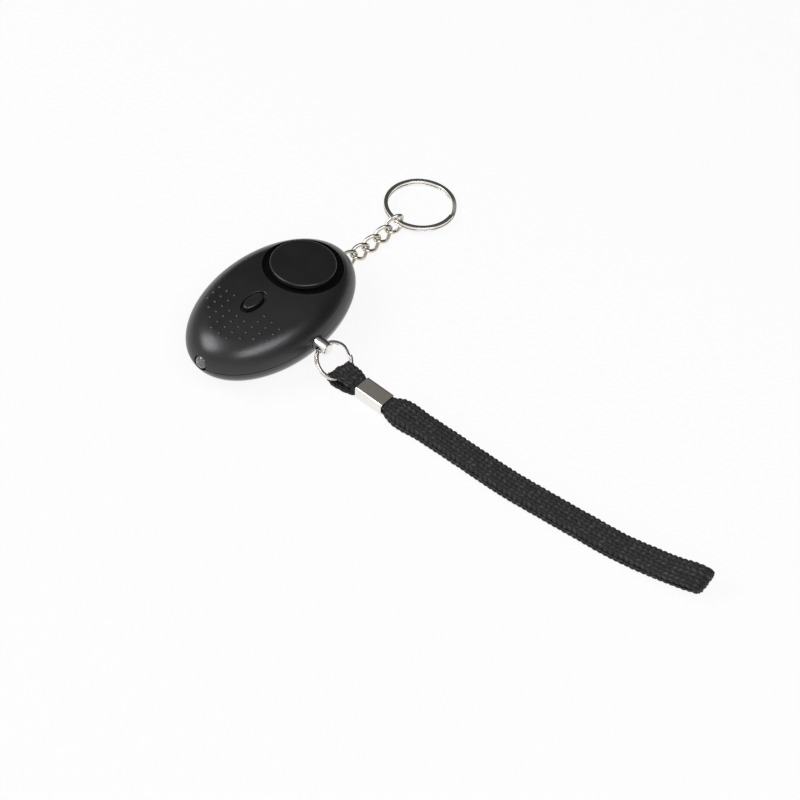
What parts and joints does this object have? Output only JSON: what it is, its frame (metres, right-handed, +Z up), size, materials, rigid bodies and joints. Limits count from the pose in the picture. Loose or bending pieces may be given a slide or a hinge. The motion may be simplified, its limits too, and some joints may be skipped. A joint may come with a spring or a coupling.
{
  "type": "personal safety alarm",
  "caption": "Pocket personal safety alarm: black pebble case with round siren cap, torch lamp and button, pull pin on a braided wrist strap, curb chain and split key ring",
  "frame": {"origin": "middle of the flat that the case lies on", "axes": "+X from the torch tip to the chain end, the pull pin leaves toward -Y, +Z up from the flat to the crown"},
  "size_m": [0.1166, 0.1935, 0.0208],
  "materials": {
    "black_abs": "satin",
    "inner_plastic": "matte",
    "clear_lens": "clear",
    "nickel_plate": "polished",
    "steel": "plain",
    "brass": "plain",
    "copper": "enamelled",
    "ferrite": "matte",
    "piezo": "matte",
    "board": "solder mask",
    "wire_red": "insulation",
    "braid": "woven"
  },
  "bodies": {
    "case": {"top_shell": "black_abs", "bottom_shell": "black_abs", "speaker_cap": "black_abs", "case_screws": "steel", "tact_switch": "inner_plastic", "led_lens": "clear_lens", "led_leads": "steel", "circuit_board": "board", "board_screws": "steel", "boost_coil_core": "ferrite", "boost_coil_winding": "copper", "driver_chip": "inner_plastic", "transistor": "inner_plastic", "piezo_diaphragm": "brass", "piezo_ceramic": "piezo", "piezo_wires": "wire_red", "button_cell_1": "steel", "button_cell_2": "steel", "button_cell_3": "steel", "cell_contact_plus": "steel", "cell_contact_minus": "steel", "pin_switch_block": "inner_plastic", "pin_switch_leaves": "brass", "anchor_pin": "steel"},
    "torch_button": {"torch_button": "black_abs"},
    "tact_plunger": {"tact_plunger": "inner_plastic"},
    "pull_pin": {"pull_pin": "nickel_plate"},
    "pin_ring": {"pin_ring": "nickel_plate"},
    "strap": {"wrist_strap": "braid", "strap_ferrule": "nickel_plate"},
    "key_ring": {"key_ring": "nickel_plate"},
    "link_1": {"chain_link_1": "nickel_plate"},
    "link_2": {"chain_link_2": "nickel_plate"},
    "link_3": {"chain_link_3": "nickel_plate"},
    "link_4": {"chain_link_4": "nickel_plate"},
    "link_5": {"chain_link_5": "nickel_plate"},
    "link_6": {"chain_link_6": "nickel_plate"}
  },
  "joints": [
    {"name": "button_press", "type": "slide", "parent": "case", "child": "torch_button", "axis": [0, 0, -1], "range_m": [0, 0.0004], "stiffness_N_per_m": 1500},
    {"name": "plunger_press", "type": "slide", "parent": "case", "child": "tact_plunger", "axis": [0, 0, -1], "range_m": [0, 0.0004]},
    {"name": "pin_pull", "type": "slide", "parent": "case", "child": "pull_pin", "axis": [0, -1, 0], "range_m": [0, 0.0115]},
    {"name": "ring_swing", "type": "hinge", "parent": "pull_pin", "child": "pin_ring", "pos_m": [-0.0006, -0.0232, 0.0103], "axis": [1, 0, 0], "range_deg": [-60, 35]},
    {"name": "strap_swing", "type": "hinge", "parent": "pin_ring", "child": "strap", "pos_m": [-0.0006, -0.03284, 0.00355], "axis": [1, 0, 0], "range_deg": [-45, 30]},
    {"name": "link_1_swing", "type": "hinge", "parent": "case", "child": "link_1", "pos_m": [0.0305, 0, 0.0086], "axis": [0, 1, 0], "range_deg": [-35, 25]},
    {"name": "link_2_pitch", "type": "hinge", "parent": "link_1", "child": "link_2", "pos_m": [0.03314, 0, 0.00536], "axis": [0, 1, 0], "range_deg": [-32, 32]},
    {"name": "link_3_yaw", "type": "hinge", "parent": "link_2", "child": "link_3", "pos_m": [0.0399, 0, 0.00304], "axis": [0.3255, 0, 0.9455], "range_deg": [-32, 32]},
    {"name": "link_4_pitch", "type": "hinge", "parent": "link_3", "child": "link_4", "pos_m": [0.04392, 0, 0.00241], "axis": [0, 1, 0], "range_deg": [-32, 32]},
    {"name": "link_5_yaw", "type": "hinge", "parent": "link_4", "child": "link_5", "pos_m": [0.05107, 0, 0.00241], "axis": [0, 0, 1], "range_deg": [-32, 32]},
    {"name": "link_6_pitch", "type": "hinge", "parent": "link_5", "child": "link_6", "pos_m": [0.05514, 0, 0.00225], "axis": [0, 1, 0], "range_deg": [-32, 32]},
    {"name": "key_ring_swing", "type": "hinge", "parent": "link_6", "child": "key_ring", "pos_m": [0.05976, 0, 0.00323], "axis": [0, 1, 0], "range_deg": [-45, 8]}
  ],
  "couplings": [
    {"joint": "plunger_press", "follows": "button_press", "ratio": 1}
  ]
}
